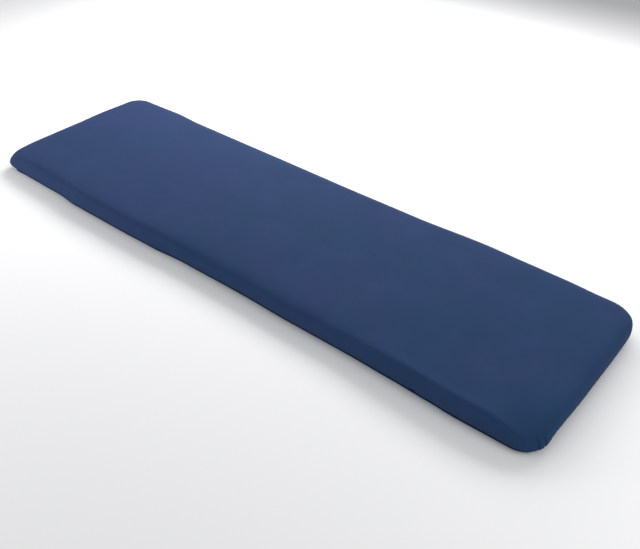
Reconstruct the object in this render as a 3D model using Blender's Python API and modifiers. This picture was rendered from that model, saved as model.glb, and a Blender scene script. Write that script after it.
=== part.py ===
"""Long, thin bench cushion: a foam-filled body in a wrapped cover, sewn to a flat base panel.

The cushion lies on its back. +X runs along its length, +Y across its width, +Z up, and the
origin is on the resting surface under its middle. All sizes are in metres.
"""

import math

import bmesh
import bpy

# Overall size of the finished cushion
LENGTH = 1.500
WIDTH = 0.450
HEIGHT = 0.050

# Base panel and the gap between it and the filled body
PANEL_THICKNESS = 0.0020
PANEL_GAP = 0.0003
PANEL_INSET = 0.0075
BODY_FLOOR = PANEL_THICKNESS + PANEL_GAP

# Plan radius of each corner
CORNER_RADIUS = {
    "near_left": 0.045,
    "near_right": 0.056,
    "far_right": 0.066,
    "far_left": 0.050,
}
HALF_CORNER_STEPS = 3

# Section of the cover from the top down: how far a line of the cage lies inside the outline,
# its height as a share of the cushion's, how much of the edge's unevenness it takes on the
# near side and on the others, how much of the puckers, and how far it leans and drops
RINGS = [
    # name, inset, height share, near share, other share, pucker share, lean share, drop share
    ("shoulder", 0.0260, 0.930, 0.00, 0.60, 0.0, 1.6, 0.30),
    ("edge", 0.0085, 0.900, 0.10, 1.00, 0.1, 1.0, 0.85),
    ("side", 0.0015, 0.640, 0.40, 1.00, 0.3, 0.4, 1.00),
    ("belly", 0.0000, 0.320, 0.90, 1.00, 0.7, 0.0, 0.35),
    ("seam", 0.0050, 0.110, 1.00, 1.00, 1.0, 0.0, 0.00),
    ("under", 0.0125, BODY_FLOOR / HEIGHT, 1.00, 1.00, 1.0, 0.0, 0.00),
]

# How far the near side leans back towards its top along its way (position, lean)
NEAR_LEAN = [(-0.70, 0.0040), (-0.30, 0.0065), (0.03, 0.0080), (0.28, 0.0080), (0.50, 0.0010)]

# How far the cover drops at each corner, where the filling doesn't reach, and how far round
CORNER_DROP = {
    "near_left": 0.0035,
    "near_right": 0.0165,
    "far_right": 0.0015,
    "far_left": 0.0015,
}
DROP_REACH = 0.085

# How far each edge stands out of the plain outline along its way (position, outward)
NEAR_EDGE = [
    (-0.69, -0.0020), (-0.54, -0.0010), (-0.47, 0.0050), (-0.30, 0.0045), (-0.20, 0.0025),
    (-0.10, -0.0040), (0.065, -0.0060), (0.20, -0.0030), (0.35, -0.0040), (0.45, -0.0020),
    (0.58, 0.0030), (0.68, 0.0015),
]
FAR_EDGE = [
    (-0.69, -0.0020), (-0.58, 0.0020), (-0.49, -0.0035), (-0.25, -0.0050), (0.05, -0.0075),
    (0.22, -0.0055), (0.40, 0.0020), (0.50, 0.0000), (0.58, -0.0010), (0.67, -0.0060),
]
LEFT_EDGE = [(-0.17, 0.0000), (0.00, 0.0010), (0.08, 0.0035), (0.17, 0.0000)]
RIGHT_EDGE = [(-0.17, -0.0020), (-0.05, 0.0000), (0.06, 0.0008), (0.17, 0.0000)]

# Short tucks that pull the seam in on the long sides (edge, place along it, depth)
TUCKS = [
    ("near", -0.500, 0.0040),
    ("near", 0.065, 0.0030),
    ("near", 0.505, 0.0025),
    ("far", -0.544, 0.0025),
    ("far", 0.300, 0.0025),
]
TUCK_REACH = 0.022

# Fine puckers of the seam round the ends and corners
PUCKER_DEPTH = 0.0013
PUCKER_UNEVENNESS = 0.45
PUCKER_DRIFT = 2.4

# Spacing of the cage's lines along the long sides and the ends
SIDE_SPACING = 0.090
END_SPACING = 0.0210
SIDE_MARGIN = 0.020

# How late the crown falls off towards the long sides and the ends, and the top's hollows
CROWN_ACROSS = 2.4
CROWN_ALONG = 10
TOP_HOLLOWS = [
    # x, y, depth, reach along, reach across
    (0.21, -0.03, 0.0020, 0.11, 0.17),
    (-0.32, -0.09, 0.0012, 0.14, 0.12),
    (0.63, 0.02, 0.0010, 0.10, 0.15),
]

NAVY = (0.036, 0.060, 0.142, 1.0)
PANEL_NAVY = (0.028, 0.045, 0.105, 1.0)
CLOTH_ROUGHNESS = 0.75


def clear_scene():
    """Remove every object that a new Blender file starts with."""
    for obj in list(bpy.data.objects):
        bpy.data.objects.remove(obj, do_unlink=True)


def cloth_material(name, colour):
    """Return a plain matt cloth material."""
    material = bpy.data.materials.new(name)
    material.use_nodes = True
    shader = material.node_tree.nodes["Principled BSDF"]
    shader.inputs["Base Color"].default_value = colour
    shader.inputs["Roughness"].default_value = CLOTH_ROUGHNESS
    shader.inputs["Metallic"].default_value = 0.0
    return material


def smooth_lookup(table, place):
    """Read a (place, value) table with an eased step from each row to the next."""
    if place <= table[0][0]:
        return table[0][1]
    for (start, low), (end, high) in zip(table, table[1:]):
        if place <= end:
            share = (place - start) / (end - start)
            return low + (high - low) * share * share * (3.0 - 2.0 * share)
    return table[-1][1]


def tuck_depth(edge, place):
    """Return how far the tucks of an edge pull the seam in at a place along it."""
    depth = 0.0
    for tuck_edge, centre, most in TUCKS:
        distance = abs(place - centre)
        if tuck_edge == edge and distance < TUCK_REACH:
            depth += most * (0.5 + 0.5 * math.cos(math.pi * distance / TUCK_REACH))
    return depth


def split_gaps(marks, largest):
    """Return the marks with each gap between them split evenly to the largest size allowed."""
    filled = [marks[0]]
    for start, end in zip(marks, marks[1:]):
        steps = max(1, math.ceil((end - start) / largest - 1e-6))
        filled.extend(start + (end - start) * step / steps for step in range(1, steps + 1))
    return filled


def side_stations():
    """Return the places of the cage's lines along the length, with one on and beside each tuck."""
    reach = LENGTH / 2 - max(CORNER_RADIUS.values()) - SIDE_MARGIN
    marks = {-reach, reach}
    for _edge, centre, _depth in TUCKS:
        # Rounding joins the marks that two neighbouring tucks share
        marks.update(round(centre + step * TUCK_REACH, 4) for step in (-1, 0, 1))
    return split_gaps(sorted(marks), SIDE_SPACING)


def end_stations():
    """Return the places of the cage's lines across the ends."""
    reach = WIDTH / 2 - max(CORNER_RADIUS.values()) - SIDE_MARGIN / 2
    return split_gaps([-reach, reach], END_SPACING)


def half_corner(name, first):
    """Return (point, normal) pairs on one half of a corner, from its middle or to its middle."""
    radius = CORNER_RADIUS[name]
    side = {"near": -1.0, "far": 1.0}[name.split("_")[0]]
    end = {"left": -1.0, "right": 1.0}[name.split("_")[1]]
    centre_x = end * (LENGTH / 2 - radius)
    centre_y = side * (WIDTH / 2 - radius)
    middle = math.atan2(side, end)
    quarter = math.pi / 4
    # The outline runs anticlockwise, so a corner's first half ends in its middle
    start = middle - quarter if first else middle
    pairs = []
    for step in range(HALF_CORNER_STEPS + 1):
        angle = start + quarter * step / HALF_CORNER_STEPS
        normal = (math.cos(angle), math.sin(angle))
        point = (centre_x + radius * normal[0], centre_y + radius * normal[1])
        pairs.append((point, normal))
    return pairs


def edge_points(edge):
    """Return the outline points of one edge, from corner middle to corner middle."""
    along, across = side_stations(), end_stations()
    straight = {
        "near": ([(x, -WIDTH / 2) for x in along], (0.0, -1.0)),
        "right": ([(LENGTH / 2, y) for y in across], (1.0, 0.0)),
        "far": ([(x, WIDTH / 2) for x in reversed(along)], (0.0, 1.0)),
        "left": ([(-LENGTH / 2, y) for y in reversed(across)], (-1.0, 0.0)),
    }
    corners = {
        "near": ("near_left", "near_right"),
        "right": ("near_right", "far_right"),
        "far": ("far_right", "far_left"),
        "left": ("far_left", "near_left"),
    }
    points, normal = straight[edge]
    pairs = half_corner(corners[edge][0], first=False)
    pairs += [(point, normal) for point in points]
    pairs += half_corner(corners[edge][1], first=True)
    return [(point, normal, edge) for point, normal in pairs]


def outline():
    """Return the whole outline anticlockwise as (point, normal, edge), without repeated corners."""
    loop = []
    for edge in ("near", "right", "far", "left"):
        loop += edge_points(edge)[:-1]
    return loop


def unevenness(point, edge):
    """Return how far the edge stands out of the plain outline at a point, fading at corners."""
    table = {"near": NEAR_EDGE, "far": FAR_EDGE, "left": LEFT_EDGE, "right": RIGHT_EDGE}[edge]
    if edge in ("near", "far"):
        place, reach = point[0], LENGTH / 2
    else:
        place, reach = point[1], WIDTH / 2
    fade = min(1.0, (reach - abs(place)) / max(CORNER_RADIUS.values()))
    return smooth_lookup(table, place) * max(0.0, fade)


def pucker(index, point, edge):
    """Return the in-and-out ripple of the seam, at the ends and corners and at the tucks."""
    if edge in ("near", "far") and abs(point[0]) < LENGTH / 2 - max(CORNER_RADIUS.values()):
        return -tuck_depth(edge, point[0])
    size = 1.0 - PUCKER_UNEVENNESS * (0.5 + 0.5 * math.sin(PUCKER_DRIFT * index))
    return PUCKER_DEPTH * size * math.cos(math.pi * index)


def lean(point, normal):
    """Return how far the side leans back at a point: the near side's own, fading at its ends."""
    return smooth_lookup(NEAR_LEAN, point[0]) * max(0.0, -normal[1])


def corner_drop(x, y):
    """Return how far the cover drops at a plan place, by its distance from the nearest corner."""
    side = "near" if y < 0 else "far"
    end = "left" if x < 0 else "right"
    distance = math.hypot(LENGTH / 2 - abs(x), WIDTH / 2 - abs(y))
    closeness = max(0.0, 1 - distance / DROP_REACH)
    return CORNER_DROP[f"{side}_{end}"] * min(1.0, 1.5 * closeness)


def ring_points(ring, loop):
    """Return the cage points of one ring of the cover round the whole outline."""
    _name, inset, height_share, near_share, other_share, pucker_share = ring[:6]
    lean_share, drop_share = ring[6:]
    points = []
    for index, (point, normal, edge) in enumerate(loop):
        share = near_share if edge == "near" else other_share
        drop = corner_drop(point[0], point[1])
        out = share * unevenness(point, edge) + pucker_share * pucker(index, point, edge) - inset
        # A dropped corner also lies back, by half as much as it drops
        out -= lean_share * (lean(point, normal) + drop / 2)
        height = height_share * HEIGHT - drop_share * drop
        points.append((point[0] + normal[0] * out, point[1] + normal[1] * out, height))
    return points


def crown_height(x, y):
    """Return the height of the top at a place inside the shoulder line."""
    _name, inset, shoulder_share = RINGS[0][:3]
    drop_share = RINGS[0][-1]
    across = min(1.0, abs(2 * y / (WIDTH - 2 * inset)))
    along = min(1.0, abs(2 * x / (LENGTH - 2 * inset)))
    fullness = (1 - across ** CROWN_ACROSS) * (1 - along ** CROWN_ALONG)
    height = HEIGHT * (shoulder_share + (1 - shoulder_share) * fullness)
    for centre_x, centre_y, depth, reach_x, reach_y in TOP_HOLLOWS:
        distance = ((x - centre_x) / reach_x) ** 2 + ((y - centre_y) / reach_y) ** 2
        height -= depth * fullness * math.exp(-distance)
    return height - drop_share * corner_drop(x, y)


def blend_inside(sides, column, row):
    """Return a plan point inside four boundary rows by blending across and along them."""
    near, right, far, left = sides
    columns, rows = len(near) - 1, len(right) - 1
    u, v = column / columns, row / rows
    place = []
    for axis in (0, 1):
        along = (1 - v) * near[column][axis] + v * far[column][axis]
        across = (1 - u) * left[row][axis] + u * right[row][axis]
        corners = (
            (1 - u) * (1 - v) * near[0][axis] + u * (1 - v) * near[-1][axis]
            + u * v * far[-1][axis] + (1 - u) * v * far[0][axis]
        )
        place.append(along + across - corners)
    return place


def make_body(collection, material):
    """Model the filled body: a cage of the cover's rings and crowned top, then subdivided."""
    loop = outline()
    columns = len(edge_points("near")) - 1
    rows = len(edge_points("right")) - 1
    shoulder = ring_points(RINGS[0], loop)
    turns = shoulder + shoulder[:1]
    near = turns[:columns + 1]
    right = turns[columns:columns + rows + 1]
    far = turns[columns + rows:2 * columns + rows + 1][::-1]
    left = turns[2 * columns + rows:][::-1]

    mesh = bpy.data.meshes.new("cushion")
    cage = bmesh.new()
    bmesh.ops.create_grid(cage, x_segments=columns, y_segments=rows, size=1.0)
    # The grid's rows and columns, found by sorting its points, take the top's places
    ordered = sorted(cage.verts, key=lambda vert: (round(vert.co.y, 6), round(vert.co.x, 6)))
    grid = [ordered[row * (columns + 1):(row + 1) * (columns + 1)] for row in range(rows + 1)]
    for row, line in enumerate(grid):
        for column, vert in enumerate(line):
            x, y = blend_inside((near, right, far, left), column, row)
            vert.co = (x, y, crown_height(x, y))
    border = (
        grid[0][:-1] + [line[-1] for line in grid[:-1]]
        + grid[-1][:0:-1] + [line[0] for line in grid[:0:-1]]
    )

    crease = cage.edges.layers.float.new("crease_edge")
    for ring in RINGS[1:]:
        edges = [cage.edges.get((a, b)) for a, b in zip(border, border[1:] + border[:1])]
        extruded = bmesh.ops.extrude_edge_only(cage, edges=edges)["geom"]
        fresh = {item for item in extruded if isinstance(item, bmesh.types.BMVert)}
        border = [
            next(edge.other_vert(vert) for edge in vert.link_edges
                 if edge.other_vert(vert) in fresh)
            for vert in border
        ]
        for vert, place in zip(border, ring_points(ring, loop)):
            vert.co = place
    for start, end in zip(border, border[1:] + border[:1]):
        cage.edges.get((start, end))[crease] = 1.0
    cage.faces.new(border)
    bmesh.ops.recalc_face_normals(cage, faces=cage.faces)
    cage.to_mesh(mesh)
    cage.free()

    body = bpy.data.objects.new("cushion", mesh)
    collection.objects.link(body)
    body.data.materials.append(material)
    rounding = body.modifiers.new("Subdivision", "SUBSURF")
    rounding.levels = 1
    rounding.render_levels = 1
    body.data.shade_smooth()
    return body


def make_panel(collection, material):
    """Model the flat base panel, cut to the line where the cover's seam turns under."""
    seam = RINGS[-2]
    line = (seam[0], PANEL_INSET, PANEL_THICKNESS / HEIGHT) + seam[3:]
    mesh = bpy.data.meshes.new("base_panel")
    sheet = bmesh.new()
    verts = [sheet.verts.new(place) for place in ring_points(line, outline())]
    face = sheet.faces.new(verts)
    bmesh.ops.poke(sheet, faces=[face])
    sheet.to_mesh(mesh)
    sheet.free()

    panel = bpy.data.objects.new("base_panel", mesh)
    collection.objects.link(panel)
    panel.data.materials.append(material)
    thickness = panel.modifiers.new("Thickness", "SOLIDIFY")
    thickness.thickness = PANEL_THICKNESS
    thickness.offset = -1.0
    return panel


def centre_over_origin(objects):
    """Shift the pieces together so that their common box is centred over the origin."""
    depsgraph = bpy.context.evaluated_depsgraph_get()
    corners = [
        corner for obj in objects for corner in obj.evaluated_get(depsgraph).bound_box
    ]
    shift = [
        -(min(c[axis] for c in corners) + max(c[axis] for c in corners)) / 2 for axis in (0, 1)
    ]
    for obj in objects:
        for vert in obj.data.vertices:
            vert.co.x += shift[0]
            vert.co.y += shift[1]


def main():
    clear_scene()
    collection = bpy.data.collections.new("bench_cushion")
    bpy.context.scene.collection.children.link(collection)
    body = make_body(collection, cloth_material("navy_cover", NAVY))
    panel = make_panel(collection, cloth_material("navy_base", PANEL_NAVY))
    centre_over_origin([body, panel])


main()
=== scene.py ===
import math

import bmesh
import bpy
import numpy as np
from mathutils import Matrix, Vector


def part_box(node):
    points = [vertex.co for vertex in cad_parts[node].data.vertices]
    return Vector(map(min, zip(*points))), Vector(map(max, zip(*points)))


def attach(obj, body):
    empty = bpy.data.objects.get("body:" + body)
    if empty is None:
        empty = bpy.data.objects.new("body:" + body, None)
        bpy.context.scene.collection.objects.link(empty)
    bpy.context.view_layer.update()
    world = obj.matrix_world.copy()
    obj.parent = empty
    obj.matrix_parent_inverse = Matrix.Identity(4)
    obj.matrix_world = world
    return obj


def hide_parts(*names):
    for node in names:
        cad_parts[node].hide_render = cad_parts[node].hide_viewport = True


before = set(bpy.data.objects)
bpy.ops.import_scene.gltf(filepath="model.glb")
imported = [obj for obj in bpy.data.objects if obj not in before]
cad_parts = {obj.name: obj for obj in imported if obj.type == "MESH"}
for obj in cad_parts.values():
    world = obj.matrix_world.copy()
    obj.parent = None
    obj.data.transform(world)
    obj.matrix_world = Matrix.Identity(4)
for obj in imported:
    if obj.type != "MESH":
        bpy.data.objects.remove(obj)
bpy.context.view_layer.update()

bodyLow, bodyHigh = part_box("cushion")
panelLow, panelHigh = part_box("base_panel")


# Small tools

def easedTable(table, place):
    # reads (place, value) rows, with an eased step from each row to the next
    places = np.array([row[0] for row in table])
    values = np.array([row[1] for row in table])
    place = np.clip(place, places[0], places[-1])
    row = np.clip(np.searchsorted(places, place, side="right") - 1, 0, len(places) - 2)
    share = (place - places[row]) / (places[row + 1] - places[row])
    return values[row] + (values[row + 1] - values[row]) * share * share * (3 - 2 * share)


def easedStep(value, start, end):
    share = np.clip((value - start) / (end - start), 0, 1)
    return share * share * (3 - 2 * share)


def pointsOf(mesh):
    flat = np.empty(len(mesh.vertices) * 3)
    mesh.vertices.foreach_get("co", flat)
    return flat.reshape(-1, 3)


def movePoints(mesh, points):
    mesh.vertices.foreach_set("co", points.ravel())
    mesh.update()


def centring(points, low, high):
    # the plan shift that brings points to the middle of a box of the frame
    return np.array([
        (low[axis] + high[axis] - points[:, axis].min() - points[:, axis].max()) / 2
        for axis in (0, 1)
    ])


def addPiece(name, data):
    piece = bpy.data.objects.new(name, data)
    bpy.context.scene.collection.objects.link(piece)
    return piece


def pieceFrom(name, shape):
    # a finished bmesh becomes a piece of the scene
    mesh = bpy.data.meshes.new(name)
    shape.to_mesh(mesh)
    shape.free()
    return addPiece(name, mesh)


def plainMesh(piece):
    # the evaluated mesh takes the place of the piece's own, and its modifiers go
    evaluated = piece.evaluated_get(bpy.context.evaluated_depsgraph_get())
    result = bpy.data.meshes.new_from_object(evaluated)
    piece.modifiers.clear()
    old = piece.data
    piece.data = result
    if isinstance(old, bpy.types.Mesh):
        bpy.data.meshes.remove(old)
    result.name = piece.name
    return result


def subdivide(piece, levels):
    rounding = piece.modifiers.new("Rounding", "SUBSURF")
    rounding.levels = levels
    rounding.render_levels = levels
    return plainMesh(piece)


# The cushion: a wrapped cover held out by its filling, sewn along its lower edge

cushion = {
    "length": 1.500,
    "width": 0.450,
    "height": bodyHigh.z,
    "floor": bodyLow.z,
    # a corner's radius at the seam, at the side's widest, and where the top begins to fall
    "cornerRadius": {
        "nearLeft": (0.036, 0.024, 0.042),
        "nearRight": (0.046, 0.046, 0.036),
        "farRight": (0.072, 0.072, 0.052),
        "farLeft": (0.050, 0.050, 0.040),
    },
    "cornerSteps": 10,
    "columns": 78,
    "rows": 36,
    "unevenFade": 0.066,      # an edge's unevenness fades out over this much before its end
    "shoulderUneven": 0.6,    # and the top's edge takes only this share of it
    "domeDrop": 0.0022,
    "domeAcross": 2.4,        # the dome's steepness towards the long sides and the ends
    "domeAlong": 10,
    "hollows": [
        # x, y, depth, reach along, reach across
        (0.21, -0.03, 0.0016, 0.11, 0.17),
        (-0.32, -0.09, 0.0010, 0.14, 0.12),
        (0.63, 0.02, 0.0008, 0.10, 0.15),
        (0.10, -0.20, 0.0016, 0.20, 0.06),
    ],
    "sunkCorners": [
        # corners that the filling doesn't reach: x, y, reach along, reach across, share of height
        (0.750, -0.225, 0.060, 0.052, 0.50),
        (-0.750, -0.225, 0.045, 0.045, 0.15),
    ],
    # below the first height nothing sinks, and from the second on it sinks fully
    "sunkHeights": (0.006, 0.022),
}

# the rings of the cover from the top down to its turned-under edge: each has a share of the top's
# corner radius (none where the sewn edge's own is used), and an inset and a height for each kind
# of section that the sides take (the shoulder's heights come from the crown instead)
rings = {
    "shoulder": {
        "share": 1.00,
        "pinched": (0.0440, 0.0), "tip": (0.0320, 0.0), "leaning": (0.0460, 0.0),
        "round": (0.0600, 0.0), "crisp": (0.0280, 0.0), "plain": (0.0320, 0.0),
    },
    "fall": {
        "share": 0.80,
        "pinched": (0.0230, 0.0450), "tip": (0.0180, 0.0468), "leaning": (0.0235, 0.0474),
        "round": (0.0340, 0.0468), "crisp": (0.0172, 0.0490), "plain": (0.0180, 0.0472),
    },
    "crease": {
        "share": 0.50,
        "pinched": (0.0110, 0.0385), "tip": (0.0085, 0.0430), "leaning": (0.0110, 0.0427),
        "round": (0.0160, 0.0437), "crisp": (0.0098, 0.0480), "plain": (0.0085, 0.0438),
    },
    "brow": {
        "share": 0.30,
        "pinched": (0.0068, 0.0315), "tip": (0.0030, 0.0370), "leaning": (0.0112, 0.0375),
        "round": (0.0060, 0.0375), "crisp": (0.0054, 0.0390), "plain": (0.0030, 0.0380),
    },
    "wall": {
        "share": 0.10,
        "pinched": (0.0022, 0.0240), "tip": (0.0006, 0.0285), "leaning": (0.0040, 0.0265),
        "round": (0.0010, 0.0285), "crisp": (0.0008, 0.0285), "plain": (0.0006, 0.0280),
    },
    "belly": {
        "share": 0.00,
        "pinched": (0.0000, 0.0165), "tip": (-0.0002, 0.0200), "leaning": (-0.0008, 0.0150),
        "round": (-0.0006, 0.0160), "crisp": (0.0000, 0.0190), "plain": (-0.0004, 0.0160),
    },
    "seam": {
        "share": None,
        "pinched": (0.0052, 0.0056), "tip": (0.0052, 0.0056), "leaning": (0.0042, 0.0055),
        "round": (0.0042, 0.0055), "crisp": (0.0042, 0.0055), "plain": (0.0044, 0.0055),
    },
    "under": {
        "share": None,
        "pinched": (0.0125, 0.0023), "tip": (0.0125, 0.0023), "leaning": (0.0120, 0.0023),
        "round": (0.0120, 0.0023), "crisp": (0.0120, 0.0023), "plain": (0.0120, 0.0023),
    },
}

# each edge's two corners, the kinds of section that it passes through, how far it stands out of
# the plain outline, and its tucks, all by the metres from the edge's middle
edges = {
    "near": {
        "corners": ("nearLeft", "nearRight"),
        "outward": (0.0, -1.0),
        "sections": [
            (-0.72, "pinched"), (-0.65, "leaning"), (-0.25, "leaning"), (0.03, "round"),
            (0.28, "round"), (0.48, "crisp"), (0.70, "crisp"),
        ],
        "uneven": [
            (-0.69, -0.0020), (-0.54, -0.0010), (-0.47, 0.0050), (-0.30, 0.0045),
            (-0.20, 0.0025), (-0.10, -0.0040), (0.065, -0.0055), (0.20, -0.0030),
            (0.35, -0.0036), (0.45, -0.0018), (0.53, 0.0006), (0.59, 0.0032), (0.68, 0.0018),
        ],
        # place, depth
        "tucks": [(-0.500, 0.0034), (0.065, 0.0022), (0.505, 0.0028)],
    },
    "right": {
        "corners": ("nearRight", "farRight"),
        "outward": (1.0, 0.0),
        "sections": [(-0.20, "plain"), (0.20, "plain")],
        "uneven": [(-0.17, -0.0030), (-0.05, -0.0002), (0.06, 0.0), (0.17, -0.0010)],
        "tucks": [],
    },
    "far": {
        "corners": ("farRight", "farLeft"),
        "outward": (0.0, 1.0),
        "sections": [(-0.70, "plain"), (0.70, "plain")],
        "uneven": [
            (-0.69, -0.0020), (-0.58, 0.0012), (-0.49, -0.0043), (-0.25, -0.0055),
            (0.05, -0.0075), (0.22, -0.0065), (0.40, 0.0014), (0.50, -0.0008), (0.58, -0.0022),
            (0.67, -0.0068),
        ],
        "tucks": [(-0.544, 0.0022), (0.300, 0.0022)],
    },
    "left": {
        "corners": ("farLeft", "nearLeft"),
        "outward": (-1.0, 0.0),
        "sections": [(-0.19, "tip"), (-0.12, "plain"), (0.20, "plain")],
        "uneven": [(-0.17, 0.0), (0.00, 0.0010), (0.08, 0.0035), (0.17, 0.0)],
        "tucks": [],
    },
}


def runsAlong(name):
    # true for the two long edges
    return name in ("near", "far")


def ringAt(name, place, ring):
    # a ring's inset and height at a place along an edge, between the sections on either side
    rows = [(at, ring[kind]) for at, kind in edges[name]["sections"]]
    inset = easedTable([(at, size[0]) for at, size in rows], place)
    height = easedTable([(at, size[1]) for at, size in rows], place)
    return float(inset), float(height)


def cornerOf(name, ring):
    # the middle, radius and two end heights of a ring's corner
    sewn, low, high = cushion["cornerRadius"][name]
    radius = sewn if ring["share"] is None else low + (high - low) * ring["share"]
    endSign = 1 if name.endswith("Right") else -1
    sideSign = 1 if name.startswith("far") else -1
    endEdge = "right" if endSign > 0 else "left"
    sideEdge = "far" if sideSign > 0 else "near"
    endInset, endHeight = ringAt(endEdge, sideSign * cushion["width"] / 2, ring)
    sideInset, sideHeight = ringAt(sideEdge, endSign * cushion["length"] / 2, ring)
    centreX = endSign * (cushion["length"] / 2 - endInset - radius)
    centreY = sideSign * (cushion["width"] / 2 - sideInset - radius)
    return centreX, centreY, radius, endHeight, sideHeight


def halfCorner(name, ring, first):
    # one half of a corner's arc, up to its middle or from it, anticlockwise
    centreX, centreY, radius, endHeight, sideHeight = cornerOf(name, ring)
    middle = math.atan2(math.copysign(1, centreY), math.copysign(1, centreX))
    start = middle - (math.pi / 4 if first else 0)
    steps = cushion["cornerSteps"] // 2
    places = []
    for step in range(steps + 1):
        angle = start + math.pi / 4 * step / steps
        normal = (math.cos(angle), math.sin(angle))
        height = endHeight * normal[0] ** 2 + sideHeight * normal[1] ** 2
        point = (centreX + radius * normal[0], centreY + radius * normal[1])
        places.append((point, normal, height))
    return places


def ringAlong(name, ring):
    # one edge of a ring, from the middle of its first corner to the middle of its second
    edge = edges[name]
    before, after = edge["corners"]
    isLong = runsAlong(name)
    first = cornerOf(before, ring)[0 if isLong else 1]
    last = cornerOf(after, ring)[0 if isLong else 1]
    count = cushion["columns" if isLong else "rows"]
    halfAcross = cushion["width" if isLong else "length"] / 2
    places = halfCorner(before, ring, first=False)
    for step in range(1, count):
        place = first + (last - first) * step / count
        inset, height = ringAt(name, place, ring)
        out = halfAcross - inset
        point = (place, edge["outward"][1] * out) if isLong else (edge["outward"][0] * out, place)
        places.append((point, edge["outward"], height))
    return places + halfCorner(after, ring, first=True)


def standsOut(point, name):
    # how far an edge leaves the plain outline at a point, fading into the corners
    place = point[0 if runsAlong(name) else 1]
    reach = cushion["length" if runsAlong(name) else "width"] / 2
    fade = np.clip((reach - abs(place)) / cushion["unevenFade"], 0, 1)
    return float(easedTable(edges[name]["uneven"], place) * fade)


def sunk(x, y, height):
    # a height after the slack corners have sunk
    for cornerX, cornerY, reachX, reachY, share in cushion["sunkCorners"]:
        apart = ((x - cornerX) / reachX) ** 2 + ((y - cornerY) / reachY) ** 2
        share *= math.exp(-apart) * float(easedStep(height, *cushion["sunkHeights"]))
        height -= share * (height - cushion["floor"])
    return height


def ringPoints(ring):
    # the whole ring, anticlockwise from the middle of the near left corner
    uneven = cushion["shoulderUneven"] if ring is rings["shoulder"] else 1.0
    points = []
    for name in edges:
        for point, normal, height in ringAlong(name, ring)[:-1]:
            out = uneven * standsOut(point, name)
            x, y = point[0] + normal[0] * out, point[1] + normal[1] * out
            points.append((x, y, sunk(x, y, height)))
    return points


def crownHeight(x, y):
    # the top's own height: a low dome with the hollows that it has been pressed into
    across = min(1.0, abs(2 * y / cushion["width"]))
    along = min(1.0, abs(2 * x / cushion["length"]))
    fullness = (1 - across ** cushion["domeAcross"]) * (1 - along ** cushion["domeAlong"])
    height = cushion["height"] - cushion["domeDrop"] * (1 - fullness)
    for centreX, centreY, depth, reachX, reachY in cushion["hollows"]:
        distance = ((x - centreX) / reachX) ** 2 + ((y - centreY) / reachY) ** 2
        height -= depth * math.exp(-distance)
    return sunk(x, y, height)


def blendInside(sides, u, v, column, row):
    # a plan point inside four boundary rows, blended along and across them
    near, right, far, left = sides
    place = []
    for axis in (0, 1):
        along = (1 - v) * near[column][axis] + v * far[column][axis]
        across = (1 - u) * left[row][axis] + u * right[row][axis]
        corners = (
            (1 - u) * (1 - v) * near[0][axis] + u * (1 - v) * near[-1][axis]
            + u * v * far[-1][axis] + (1 - u) * v * far[0][axis]
        )
        place.append(along + across - corners)
    return place


def layTop(cage):
    # the crown, as a grid inside the shoulder ring; its border comes back anticlockwise
    columns = cushion["columns"] + cushion["cornerSteps"]
    rows = cushion["rows"] + cushion["cornerSteps"]
    shoulder = ringPoints(rings["shoulder"])
    turns = shoulder + shoulder[:1]
    near = turns[:columns + 1]
    right = turns[columns:columns + rows + 1]
    far = turns[columns + rows:2 * columns + rows + 1][::-1]
    left = turns[2 * columns + rows:][::-1]
    bmesh.ops.create_grid(cage, x_segments=columns, y_segments=rows, size=1.0)
    ordered = sorted(cage.verts, key=lambda vert: (round(vert.co.y, 6), round(vert.co.x, 6)))
    grid = [ordered[row * (columns + 1):(row + 1) * (columns + 1)] for row in range(rows + 1)]
    for row, line in enumerate(grid):
        for column, vert in enumerate(line):
            sides = (near, right, far, left)
            x, y = blendInside(sides, column / columns, row / rows, column, row)
            vert.co = (x, y, crownHeight(x, y))
    return (
        grid[0][:-1] + [line[-1] for line in grid[:-1]]
        + grid[-1][:0:-1] + [line[0] for line in grid[:0:-1]]
    )


def wrapDown(cage, border):
    # the sides: each ring is drawn out of the one above it
    for name in list(rings)[1:]:
        old = [cage.edges.get(pair) for pair in zip(border, border[1:] + border[:1])]
        extruded = bmesh.ops.extrude_edge_only(cage, edges=old)["geom"]
        fresh = {item for item in extruded if isinstance(item, bmesh.types.BMVert)}
        border = [
            next(edge.other_vert(vert) for edge in vert.link_edges
                 if edge.other_vert(vert) in fresh)
            for vert in border
        ]
        for vert, place in zip(border, ringPoints(rings[name])):
            vert.co = place


def cushionCage():
    cage = bmesh.new()
    wrapDown(cage, layTop(cage))
    bmesh.ops.recalc_face_normals(cage, faces=cage.faces)
    return pieceFrom("cushion_cover", cage)


cover = cushionCage()
subdivide(cover, 1)
points = pointsOf(cover.data)
shift = centring(points, bodyLow, bodyHigh)
points[:, :2] += shift
movePoints(cover.data, points)
print("cover cut:", len(cover.data.vertices), "points")

filling = {
    "pressure": 4.0,
    "frames": 20,
    "quality": 5,
    "clothMass": 0.3,
    "stretchStiffness": 15,
    "shearStiffness": 5,
    "bendStiffness": 0.3,
    # spare cloth, and the heights between which it fades out
    "slack": -0.05,
    "slackHeights": (0.012, 0.034),
    # how firmly the sewn edge, the foam's top edge and the sides between them are held
    "sewnAbove": (0.0015, 0.0035),
    "foamHeights": (0.034, 0.044),
    "foamHold": 0.35,
    "sideHold": 0.02,
    "mostOut": 0.0030,
}


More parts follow.
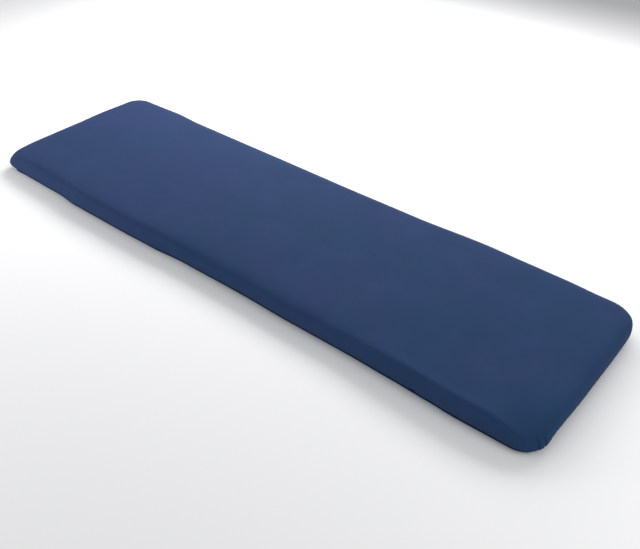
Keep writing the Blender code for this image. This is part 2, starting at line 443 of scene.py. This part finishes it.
def fillCover(piece):
    # blows the cover out against its sewn edge, with a little spare cloth low down
    start = pointsOf(piece.data)
    height = start[:, 2]
    sewnLow, sewnHigh = filling["sewnAbove"]
    sewn = easedStep(height, cushion["floor"] + sewnHigh, cushion["floor"] + sewnLow)
    foam = easedStep(height, *filling["foamHeights"])
    side = filling["sideHold"]
    hold = np.maximum(sewn, side + (filling["foamHold"] - side) * foam)
    slack = 1 - easedStep(height, *filling["slackHeights"])
    for groupName, weights in (("hold", hold), ("slack", slack)):
        group = piece.vertex_groups.new(name=groupName)
        for index, weight in enumerate(weights):
            group.add([index], float(weight), "REPLACE")
    cloth = piece.modifiers.new("Filling", "CLOTH")
    settings = cloth.settings
    settings.quality = filling["quality"]
    settings.mass = filling["clothMass"]
    settings.tension_stiffness = filling["stretchStiffness"]
    settings.compression_stiffness = filling["stretchStiffness"]
    settings.shear_stiffness = filling["shearStiffness"]
    settings.bending_stiffness = filling["bendStiffness"]
    settings.vertex_group_mass = "hold"
    settings.pin_stiffness = 1.0
    settings.use_pressure = True
    settings.uniform_pressure_force = filling["pressure"]
    settings.vertex_group_shrink = "slack"
    settings.shrink_min = 0.0
    settings.shrink_max = filling["slack"]
    settings.effector_weights.gravity = 0
    scene = bpy.context.scene
    scene.frame_start, scene.frame_end = 1, filling["frames"]
    cloth.point_cache.frame_start, cloth.point_cache.frame_end = 1, filling["frames"]
    for frameNumber in range(1, filling["frames"] + 1):
        scene.frame_set(frameNumber)
    mesh = plainMesh(piece)
    moved = pointsOf(mesh) - start
    distance = np.linalg.norm(moved, axis=1)
    print("cover blown out: by", round(float(distance.max()), 4), "at most and",
          round(float(distance.mean()), 5), "on average")
    most = filling["mostOut"]
    moved *= (most * np.tanh(distance / most) / np.maximum(distance, 1e-9))[:, None]
    result = start + moved
    result[:, 2] = np.clip(result[:, 2], cushion["floor"], None)
    movePoints(mesh, result)
    piece.vertex_groups.clear()
    scene.frame_set(1)


fillCover(cover)
subdivide(cover, 1)


# Where the cloth is drawn in along its seam: tucks, small gathers and the corners' folds

gathers = {
    "seed": 23,
    "tuckHalfWidth": 0.0065,
    "tuckTop": 0.034,
    "fullBeside": 0.7,        # how far the cloth swells beside a gather
    "cornerClear": 0.05,      # no small gather stands nearer to an edge's end
    # the small gathers' spacing, depth, half width and top on each edge, least and most
    "small": {
        "right": {"pitch": (0.012, 0.026), "depth": (0.0006, 0.0017),
                  "halfWidth": (0.0030, 0.0042), "top": (0.024, 0.038)},
        "left": {"pitch": (0.015, 0.033), "depth": (0.0003, 0.0010),
                 "halfWidth": (0.0030, 0.0052), "top": (0.016, 0.030)},
        "near": {"pitch": (0.018, 0.052), "depth": (0.0002, 0.0009),
                 "halfWidth": (0.0030, 0.0052), "top": (0.014, 0.026)},
        "far": {"pitch": (0.020, 0.050), "depth": (0.0002, 0.0009),
                "halfWidth": (0.0030, 0.0052), "top": (0.014, 0.028)},
    },
    # the height at which a gather is deepest
    "fullest": 0.0023,
    # corner, turn in degrees, depth, half width, top, fullest
    "cornerFolds": [
        ("nearRight", -78, 0.0010, 0.0032, 0.016, 0.0023),
        ("nearRight", -54, 0.0018, 0.0030, 0.032, 0.0150),
        ("nearRight", -36, 0.0042, 0.0027, 0.042, 0.0220),
        ("nearRight", -20, 0.0038, 0.0026, 0.042, 0.0230),
        ("nearRight", -5, 0.0012, 0.0032, 0.018, 0.0023),
        ("farRight", 20, 0.0009, 0.0040, 0.020, 0.0023),
        ("farRight", 44, 0.0013, 0.0040, 0.024, 0.0023),
        ("farRight", 70, 0.0009, 0.0044, 0.018, 0.0023),
        ("farLeft", 112, 0.0009, 0.0040, 0.020, 0.0023),
        ("farLeft", 137, 0.0014, 0.0038, 0.026, 0.0023),
        ("farLeft", 160, 0.0010, 0.0040, 0.018, 0.0023),
        ("nearLeft", -160, 0.0009, 0.0032, 0.016, 0.0023),
        ("nearLeft", -135, 0.0012, 0.0032, 0.020, 0.0023),
        ("nearLeft", -108, 0.0009, 0.0036, 0.016, 0.0023),
    ],
}


class Seam:
    # the line that the cover is sewn along, measured in metres from the near left corner
    def __init__(self):
        self.points = np.array(ringPoints(rings["seam"]))
        self.points[:, :2] += shift
        self.line = self.points[:, :2]
        self.span = np.roll(self.line, -1, axis=0) - self.line
        self.length = np.hypot(self.span[:, 0], self.span[:, 1])
        self.start = np.concatenate([[0], np.cumsum(self.length)])
        facing = np.stack([self.span[:, 1], -self.span[:, 0]], axis=1) / self.length[:, None]
        facing = facing + np.roll(facing, 1, axis=0)
        self.facing = facing / np.hypot(facing[:, 0], facing[:, 1])[:, None]

    def around(self, place):
        # the metres along the line to the point of it that is nearest to a plan place
        gap = np.hypot(self.line[:, 0] - place[0], self.line[:, 1] - place[1])
        return self.start[gap.argmin()]

    def project(self, places):
        # each plan place's metres along the line, and the way out from it there
        around = np.empty(len(places))
        outward = np.empty((len(places), 2))
        for rows in np.array_split(np.arange(len(places)), 24):    # in parts, to spare memory
            offset = places[rows, None] - self.line[None]
            share = np.clip((offset * self.span).sum(axis=2) / self.length ** 2, 0, 1)
            gap = ((offset - share[..., None] * self.span) ** 2).sum(axis=2)
            best = gap.argmin(axis=1)
            part = share[np.arange(len(rows)), best]
            around[rows] = self.start[best] + part * self.length[best]
            after = (best + 1) % len(self.line)
            outward[rows] = self.facing[best] * (1 - part[:, None]) + self.facing[after] * part[:, None]
        return around, outward


def edgePlace(name, place):
    # the plan place of a spot along an edge
    outward = edges[name]["outward"]
    if runsAlong(name):
        return place, outward[1] * cushion["width"] / 2
    return outward[0] * cushion["length"] / 2, place


def gatherTable(seam):
    # metres along the seam, depth, half width, top and fullest height of every drawn-in place
    table = []
    fullest = gathers["fullest"]
    for name, edge in edges.items():
        for place, depth in edge["tucks"]:
            table.append((
                seam.around(edgePlace(name, place)), depth, gathers["tuckHalfWidth"],
                gathers["tuckTop"], fullest,
            ))
    for name, turn, depth, halfWidth, top, height in gathers["cornerFolds"]:
        centreX, centreY, radius = cornerOf(name, rings["seam"])[:3]
        target = (
            centreX + shift[0] + radius * math.cos(math.radians(turn)),
            centreY + shift[1] + radius * math.sin(math.radians(turn)),
        )
        table.append((seam.around(target), depth, halfWidth, top, height))
    chance = np.random.default_rng(gathers["seed"])
    for name, small in gathers["small"].items():
        half = cushion["length" if runsAlong(name) else "width"] / 2
        clear = gathers["cornerClear"]
        place = -half + clear + chance.uniform(0, small["pitch"][0])
        while place < half - clear:
            table.append((
                seam.around(edgePlace(name, place)), chance.uniform(*small["depth"]),
                chance.uniform(*small["halfWidth"]), chance.uniform(*small["top"]), fullest,
            ))
            place += chance.uniform(*small["pitch"])
    return table


def drawIn(mesh, seam):
    # a gather is a trough in the side, with a little fullness beside it
    table = gatherTable(seam)
    points = pointsOf(mesh)
    side = np.flatnonzero(points[:, 2] < max(row[3] for row in table))
    around, outward = seam.project(points[side, :2])
    height = points[side, 2]
    out = np.zeros(len(side))
    for place, depth, halfWidth, top, fullest in table:
        apart = np.abs(around - place)
        apart = np.minimum(apart, seam.start[-1] - apart)
        near = (apart / halfWidth) ** 2
        below = np.clip((fullest - height) / fullest, 0, 1)
        strength = easedStep(height, top, fullest) * (1 - below)
        out -= depth * (1 - gathers["fullBeside"] * near) * np.exp(-near) * strength
    points[side, :2] += outward * out[:, None]
    movePoints(mesh, points)


seam = Seam()
drawIn(cover.data, seam)


def closeUnderside(mesh):
    # one flat face shuts the cover where it lies on its base panel
    shape = bmesh.new()
    shape.from_mesh(mesh)
    bmesh.ops.holes_fill(shape, edges=[edge for edge in shape.edges if edge.is_boundary])
    bmesh.ops.recalc_face_normals(shape, faces=shape.faces)
    shape.to_mesh(mesh)
    shape.free()


closeUnderside(cover.data)
print("cover filled:", len(cover.data.vertices), "points")


# Materials

class Flow:
    # one value in a node tree: arithmetic on it adds the Math nodes
    def __init__(self, tree, socket):
        self.tree = tree
        self.socket = socket

    def output(self, name):
        # another output of the same node
        return Flow(self.tree, self.socket.node.outputs[name])

    def math(self, operation, other=None, reflected=False):
        node = self.tree.nodes.new("ShaderNodeMath")
        node.operation = operation
        plug(self.tree, self, node.inputs[1 if reflected else 0])
        if other is not None:
            plug(self.tree, other, node.inputs[0 if reflected else 1])
        return Flow(self.tree, node.outputs[0])

    def __add__(self, other):
        return self.math("ADD", other)

    def __sub__(self, other):
        return self.math("SUBTRACT", other)

    def __rsub__(self, other):
        return self.math("SUBTRACT", other, reflected=True)

    def __mul__(self, other):
        return self.math("MULTIPLY", other)

    def __pow__(self, other):
        return self.math("POWER", other)

    def __gt__(self, other):
        return self.math("GREATER_THAN", other)

    def __abs__(self):
        return self.math("ABSOLUTE")

    __radd__ = __add__
    __rmul__ = __mul__


def plug(tree, value, socket):
    if isinstance(value, Flow):
        tree.links.new(value.socket, socket)
    else:
        socket.default_value = value


class Tree:
    # a node tree, and the one way of adding any other node to it
    def __init__(self, tree):
        self.tree = tree

    def node(self, kind, settings=None, values=None, output=0):
        made = self.tree.nodes.new(kind)
        for key, value in (settings or {}).items():
            setattr(made, key, value)
        for place, value in (values or {}).items():
            plug(self.tree, value, made.inputs[place])
        return Flow(self.tree, made.outputs[output]) if made.outputs else None


class Finish(Tree):
    # one material's tree
    def __init__(self, name):
        self.material = bpy.data.materials.new(name)
        self.material.use_nodes = True
        super().__init__(self.material.node_tree)
        self.tree.nodes.clear()

    def mixed(self, share, first, second):
        # a Mix node's colours are its inputs 6 and 7 and its output 2
        settings = {"data_type": "RGBA", "blend_type": "MIX"}
        values = {0: share, 6: first, 7: second}
        return self.node("ShaderNodeMix", settings, values, output=2)

    def noise(self, place, scale, detail=3.0, roughness=0.5):
        values = {"Vector": place, "Scale": scale, "Detail": detail, "Roughness": roughness}
        return self.node("ShaderNodeTexNoise", {"noise_dimensions": "3D"}, values)

    def stretched(self, place, scales, moved=(0.0, 0.0, 0.0)):
        return self.node("ShaderNodeMapping", {"vector_type": "POINT"},
                         {"Vector": place, "Location": moved, "Scale": scales})


coverCloth = {
    "deep": (0.0166, 0.0337, 0.0870, 1.0),
    "light": (0.0274, 0.0522, 0.1300, 1.0),
    # the dye's slow random change over a large piece, towards green and towards violet, and a steady
    # turn towards green from the left end to the right
    "greener": (0.0166, 0.0450, 0.1025, 1.0),
    "redder": (0.0244, 0.0398, 0.1130, 1.0),
    "dyeScale": 5.5,
    "dyeMoved": (3.1, 7.4, 0.0),
    "dyeContrast": 5.0,
    "dyeChange": 0.55,
    "steadyGreenTurn": 0.9,          # how far it turns to green with each metre along the cushion
    # the soft mottling of a large piece, and the smaller patches in it
    "mottlingScale": 9.0,
    "mottling": 0.85,
    "patchScale": 38.0,
    "patches": 0.22,
    # thick and thin threads, each way
    "warpSlubs": (620.0, 26.0, 1.0),
    "weftSlubs": (24.0, 590.0, 1.0),
    "slubShade": 0.55,
    "slubRoughness": 0.12,
    "slubBump": 0.6,
    "threadPitch": 0.00075,
    # painted shade: the colour darkens where the weave dips between threads
    "threadGapPaintedShade": 0.35,
    "flatWithin": 0.066,      # nearer to an edge than this, the weave's map follows the way out
    "bumpDistance": 0.00012,
    "bumpStrength": 0.55,
    "roughness": 0.78,
    "sheenWeight": 0.03,
    "sheenRoughness": 0.45,
    "sheenTint": (0.85, 0.92, 1.00, 1.0),
    "specular": 0.03,
}


def sewingThread(name, look):
    # a twisted thread, with painted shade in its grooves
    thread = Finish(name)
    place = thread.node("ShaderNodeTexCoord", output="Object")
    fibres = thread.noise(thread.stretched(place, look["fibres"]), 1.0, 2.0)
    bump = thread.node("ShaderNodeBump", values={
        "Strength": look["bumpStrength"],
        "Distance": look["bumpDistance"],
        "Height": fibres,
    })
    shader = thread.node("ShaderNodeBsdfPrincipled", values={
        # painted shade: the fibres that make the bump also darken the colour in their grooves
        "Base Color": thread.mixed(fibres, look["deep"], look["light"]),
        "Roughness": look["roughness"],
        "Normal": bump,
        "Specular IOR Level": look["specular"],
    })
    thread.node("ShaderNodeOutputMaterial", values={"Surface": shader})
    return thread.material


def wovenCloth(name, look):
    cloth = Finish(name)
    place = cloth.node("ShaderNodeUVMap", {"uv_map": "weave"})
    along = cloth.node("ShaderNodeSeparateXYZ", values={"Vector": place}, output="X")
    across = along.output("Y")
    # a thread is round across its width and dips where it passes under
    warp = (along * (math.pi / look["threadPitch"])).math("SINE")
    weft = (across * (math.pi / look["threadPitch"])).math("SINE")
    warpOnTop = (warp * weft) > 0.0
    steep, shallow = 0.8, 0.3
    warpHeight = abs(warp) ** steep * abs(weft) ** shallow
    weftHeight = abs(warp) ** shallow * abs(weft) ** steep
    height = warpOnTop * warpHeight + (1 - warpOnTop) * weftHeight
    warpSlubs = cloth.noise(cloth.stretched(place, look["warpSlubs"]), 1.0, 2.0)
    weftSlubs = cloth.noise(cloth.stretched(place, look["weftSlubs"]), 1.0, 2.0)
    slubs = warpOnTop * warpSlubs + (1 - warpOnTop) * weftSlubs
    mottling = cloth.noise(place, look["mottlingScale"], 4.0, 0.6)
    patches = cloth.noise(place, look["patchScale"], 3.0, 0.5)
    meanHeight = 0.62
    # the colour's tone: slubs, mottling and patches, with painted shade where the weave dips between
    # threads
    shade = 0.5 + (slubs - 0.5) * look["slubShade"] + (mottling - 0.5) * look["mottling"]
    shade = shade + (patches - 0.5) * look["patches"] + (height - meanHeight) * look["threadGapPaintedShade"]
    colour = cloth.mixed(shade, look["deep"], look["light"])
    scales = (look["dyeScale"], look["dyeScale"], 1.0)
    dye = cloth.noise(cloth.stretched(place, scales, look["dyeMoved"]), 1.0, 2.0)
    # random dye patches, plus a steady turn towards green from the left end to the right
    turn = (dye - 0.5) * look["dyeContrast"] + along * look["steadyGreenTurn"]
    toGreen = turn.math("MAXIMUM", 0.0) * look["dyeChange"]
    toRed = (0.0 - turn).math("MAXIMUM", 0.0) * look["dyeChange"]
    colour = cloth.mixed(toGreen, colour, look["greener"])
    colour = cloth.mixed(toRed, colour, look["redder"])
    roughness = look["roughness"] + (slubs - 0.5) * look["slubRoughness"]
    bump = cloth.node("ShaderNodeBump", values={
        "Strength": look["bumpStrength"],
        "Distance": look["bumpDistance"],
        "Height": height + (slubs - 0.5) * look["slubBump"],
    })
    shader = cloth.node("ShaderNodeBsdfPrincipled", values={
        "Base Color": colour,
        "Roughness": roughness,
        "Normal": bump,
        "Specular IOR Level": look["specular"],
        "Sheen Weight": look["sheenWeight"],
        "Sheen Roughness": look["sheenRoughness"],
        "Sheen Tint": look["sheenTint"],
    })
    cloth.node("ShaderNodeOutputMaterial", values={"Surface": shader})
    return cloth.material


def layWeave(mesh):
    # the weave's own map: the plan place, carried on down the sides as the cloth wraps
    points = pointsOf(mesh)
    coreX = cushion["length"] / 2 - coverCloth["flatWithin"]
    coreY = cushion["width"] / 2 - coverCloth["flatWithin"]
    offX = points[:, 0] - np.clip(points[:, 0], -coreX, coreX)
    offY = points[:, 1] - np.clip(points[:, 1], -coreY, coreY)
    length = np.maximum(np.hypot(offX, offY), 1e-6)
    drop = cushion["height"] - points[:, 2]
    placeX = points[:, 0] + offX / length * drop
    placeY = points[:, 1] + offY / length * drop
    loops = np.empty(len(mesh.loops), dtype=np.int32)
    mesh.loops.foreach_get("vertex_index", loops)
    layer = mesh.uv_layers.new(name="weave")
    layer.data.foreach_set("uv", np.stack([placeX[loops], placeY[loops]], axis=1).ravel())


coverMaterial = wovenCloth("cover_weave", coverCloth)
layWeave(cover.data)
cover.data.materials.clear()
cover.data.materials.append(coverMaterial)
cover.data.shade_smooth()


# Seam thread: a row of stitches through the cover just above its base panel

stitching = {
    "pitch": 0.0034,
    "stitchLength": 0.0026,
    "threadRadius": 0.00024,
    "arch": 0.00018,
    "uneven": 0.10,
    "seed": 5,
    "deep": (0.0110, 0.0220, 0.0580, 1.0),
    "light": (0.0300, 0.0560, 0.1300, 1.0),
    "fibres": (900.0, 900.0, 2600.0),
    "bumpDistance": 0.00006,
    "bumpStrength": 0.5,
    "roughness": 0.62,
    "specular": 0.10,
}


def stitchTree(look, material):
    # stitches at an even pitch along a line, each laid on the nearest place of the cloth
    group = bpy.data.node_groups.new("stitches", "GeometryNodeTree")
    interface = group.interface
    interface.new_socket("Geometry", in_out="OUTPUT", socket_type="NodeSocketGeometry")
    sockets = {}
    for name, kind, value in (
        ("Line", "NodeSocketGeometry", None),
        ("Cloth", "NodeSocketObject", None),
        ("Pitch", "NodeSocketFloat", look["pitch"]),
        ("Stitch Length", "NodeSocketFloat", look["stitchLength"]),
        ("Thread Radius", "NodeSocketFloat", look["threadRadius"]),
        ("Arch", "NodeSocketFloat", look["arch"]),
        ("Uneven", "NodeSocketFloat", look["uneven"]),
        ("Seed", "NodeSocketInt", look["seed"]),
        ("Material", "NodeSocketMaterial", None),
    ):
        socket = interface.new_socket(name, in_out="INPUT", socket_type=kind)
        sockets[name] = (socket.identifier, material if name == "Material" else value)
    made = Tree(group)
    given = made.node("NodeGroupInput")
    inputs = {name: given.output(name) for name in sockets}

    # one stitch: a short arched thread along X, thinner where it dives into the cloth
    half = inputs["Stitch Length"] * 0.5
    start = made.node("ShaderNodeCombineXYZ", values={"X": 0.0 - half})
    end = made.node("ShaderNodeCombineXYZ", values={"X": half})
    thread = made.node("GeometryNodeCurvePrimitiveLine", {"mode": "POINTS"},
                       {"Start": start, "End": end})
    thread = made.node("GeometryNodeResampleCurve", {"mode": "COUNT"},
                       {"Curve": thread, "Count": 6})
    along = made.node("GeometryNodeSplineParameter")
    bow = along * (1 - along) * 4.0    # 0 at the ends and 1 in the middle
    lift = made.node("ShaderNodeCombineXYZ", values={"Z": bow * inputs["Arch"]})
    thread = made.node("GeometryNodeSetPosition", values={"Geometry": thread, "Offset": lift})
    profile = made.node("GeometryNodeCurvePrimitiveCircle", {"mode": "RADIUS"},
                        {"Resolution": 6, "Radius": 1.0})
    endShare = 0.45    # of the thread's radius, where it dives in
    stitch = made.node("GeometryNodeCurveToMesh", values={
        "Curve": thread, "Profile Curve": profile, "Fill Caps": True,
        "Scale": inputs["Thread Radius"] * (endShare + (1 - endShare) * bow ** 0.5),
    })

    # the places along the line, brought onto the cloth and turned with it
    line = made.node("GeometryNodeMeshToCurve", values={"Mesh": inputs["Line"]})
    places = made.node("GeometryNodeCurveToPoints", {"mode": "LENGTH"},
                       {"Curve": line, "Length": inputs["Pitch"]}, output="Points")
    cloth = made.node("GeometryNodeObjectInfo", {"transform_space": "RELATIVE"},
                      {"Object": inputs["Cloth"]}, output="Geometry")
    onCloth = made.node("GeometryNodeProximity", {"target_element": "FACES"}, {0: cloth})
    facing = made.node("GeometryNodeInputNormal")
    outward = made.node("GeometryNodeSampleNearestSurface", {"data_type": "FLOAT_VECTOR"},
                        {"Mesh": cloth, "Value": facing})
    turned = made.node("FunctionNodeAlignRotationToVector", {"axis": "Z"}, {"Vector": outward})
    turned = made.node("FunctionNodeAlignRotationToVector", {"axis": "X", "pivot_axis": "Z"},
                       {"Rotation": turned, "Vector": places.output("Tangent")})
    size = made.node("FunctionNodeRandomValue", {"data_type": "FLOAT"}, {
        2: 1.0 - inputs["Uneven"],    # the least and the most
        3: 1.0 + inputs["Uneven"],
        "Seed": inputs["Seed"],
    }, output=1)
    laid = made.node("GeometryNodeSetPosition", values={
        "Geometry": places, "Position": onCloth,
    })
    sewn = made.node("GeometryNodeInstanceOnPoints", values={
        "Points": laid, "Instance": stitch, "Rotation": turned, "Scale": size,
    })
    sewn = made.node("GeometryNodeRealizeInstances", values={"Geometry": sewn})
    sewn = made.node("GeometryNodeSetMaterial", values={
        "Geometry": sewn, "Material": inputs["Material"],
    })
    made.node("NodeGroupOutput", values={"Geometry": sewn})
    return group, sockets


def sewAlong(seam, cloth):
    # the seam's own line carries the stitches and is gone once they are made
    mesh = bpy.data.meshes.new("seam_thread")
    count = len(seam.points)
    mesh.from_pydata(seam.points.tolist(), [(i, (i + 1) % count) for i in range(count)], [])
    piece = addPiece("seam_thread", mesh)
    material = sewingThread("thread", stitching)
    group, sockets = stitchTree(stitching, material)
    sewing = piece.modifiers.new("Stitches", "NODES")
    sewing.node_group = group
    sockets["Cloth"] = (sockets["Cloth"][0], cloth)
    for identifier, value in sockets.values():
        if value is not None:
            sewing[identifier] = value
    plainMesh(piece).shade_smooth()
    return piece


stitches = sewAlong(seam, cover)
print("stitches:", len(stitches.data.polygons), "faces")


# Base panel: one flat layer of the same cloth under the cushion

panelCut = {
    "inset": 0.0067,
    "edgeRound": 0.0008,
}


def basePanel():
    sheet = bmesh.new()
    low, high, bend = panelLow.z, panelHigh.z, panelCut["edgeRound"]
    levels = [
        (panelCut["inset"] + bend, high),
        (panelCut["inset"], high - bend),
        (panelCut["inset"], low + bend),
        (panelCut["inset"] + bend, low),
    ]
    loops = []
    for inset, level in levels:
        ring = dict.fromkeys(rings["seam"], (inset, level))
        ring["share"] = None
        loops.append([sheet.verts.new(place) for place in ringPoints(ring)])
    for upper, lower in zip(loops, loops[1:]):
        count = len(upper)
        for index in range(count):
            after = (index + 1) % count
            sheet.faces.new((upper[index], upper[after], lower[after], lower[index]))
    top = sheet.faces.new(loops[0])
    bottom = sheet.faces.new(loops[-1][::-1])
    bmesh.ops.poke(sheet, faces=[top, bottom])
    bmesh.ops.recalc_face_normals(sheet, faces=sheet.faces)
    piece = pieceFrom("base_cloth", sheet)
    points = pointsOf(piece.data)
    points[:, :2] += centring(points, panelLow, panelHigh)
    movePoints(piece.data, points)
    return piece


base = basePanel()
layWeave(base.data)
base.data.materials.append(coverMaterial)
print("base panel laid")


# Stage, lights and camera

studio = {
    "floorSize": 24.0,
    "floorGap": 0.0003,
    "floorColour": (0.80, 0.80, 0.80, 1.0),
    "floorRoughness": 0.9,
    "floorSpecular": 0.1,
    "worldColour": (0.97, 0.98, 1.0, 1.0),
    "worldStrength": 0.465,
    # name, place, aim, size, power
    "lamps": [
        ("back", (-0.20, 1.35, 0.95), (-0.10, 0.05, 0.0), (2.2, 0.6), 30.2),
        ("backLeft", (-0.90, 0.90, 0.75), (-0.45, 0.10, 0.0), (0.7, 0.7), 10.6),
        ("frontLeft", (-1.60, -0.90, 0.35), (-0.50, -0.20, 0.0), (0.7, 0.7), 12.0),
        ("front", (-0.55, -1.90, 0.45), (-0.40, -0.20, 0.0), (1.0, 1.0), 6.5),
        ("rightHigh", (1.84, 0.0, 1.54), (0.0, 0.0, 0.0), (1.2, 1.2), 9.0),
        ("rightEnd", (1.60, -0.25, 0.42), (0.66, -0.10, 0.0), (0.6, 0.6), 1.8),
    ],
}


def layFloor():
    shape = bmesh.new()
    bmesh.ops.create_grid(shape, x_segments=1, y_segments=1, size=studio["floorSize"] / 2)
    piece = pieceFrom("floor", shape)
    piece.location.z = -studio["floorGap"]
    paint = Finish("floor_paint")
    shader = paint.node("ShaderNodeBsdfPrincipled", values={
        "Base Color": studio["floorColour"],
        "Roughness": studio["floorRoughness"],
        "Specular IOR Level": studio["floorSpecular"],
    })
    paint.node("ShaderNodeOutputMaterial", values={"Surface": shader})
    piece.data.materials.append(paint.material)


def lightWorld():
    world = bpy.data.worlds.new("studio")
    world.use_nodes = True
    backdrop = world.node_tree.nodes["Background"]
    backdrop.inputs["Color"].default_value = studio["worldColour"]
    backdrop.inputs["Strength"].default_value = studio["worldStrength"]
    bpy.context.scene.world = world


def aimed(place, aim):
    # a lamp's matrix at a place, facing what it lights
    direction = np.array(aim) - np.array(place)
    direction /= np.linalg.norm(direction)
    side = np.cross(direction, (0.0, 0.0, 1.0))
    side /= np.linalg.norm(side)
    up = np.cross(side, direction)
    columns = np.eye(4)
    columns[:3, 0], columns[:3, 1], columns[:3, 2], columns[:3, 3] = side, up, -direction, place
    return Matrix(columns.tolist())


layFloor()
lightWorld()
for name, place, aim, size, power in studio["lamps"]:
    lamp = bpy.data.lights.new(name, "AREA")
    lamp.shape = "RECTANGLE"
    lamp.size, lamp.size_y = size
    lamp.energy = power
    addPiece(name, lamp).matrix_world = aimed(place, aim)

# the camera's angles are in degrees, and its focal length is in the photo's pixels
view = {
    "place": (0.9965, -1.1066, 1.0358),
    "heading": 128.627,
    "downTilt": 37.510,
    "roll": 0.950,
    "focalPixels": 792.48,
    "imageWidth": 640,
    "sensor": 36.0,
}
lens = bpy.data.cameras.new("camera")
lens.sensor_width = view["sensor"]
lens.lens = view["focalPixels"] / view["imageWidth"] * view["sensor"]
camera = addPiece("camera", lens)
camera.matrix_world = (
    Matrix.Translation(view["place"])
    @ Matrix.Rotation(math.radians(view["heading"] - 90), 4, "Z")
    @ Matrix.Rotation(math.radians(90 - view["downTilt"]), 4, "X")
    @ Matrix.Rotation(math.radians(view["roll"]), 4, "Z")
)
bpy.context.scene.camera = camera
bpy.context.scene.view_settings.view_transform = "Standard"
print("studio set")


# Handing over to the frame

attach(cover, "root")
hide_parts("cushion")
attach(stitches, "root")
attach(base, "root")
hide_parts("base_panel")
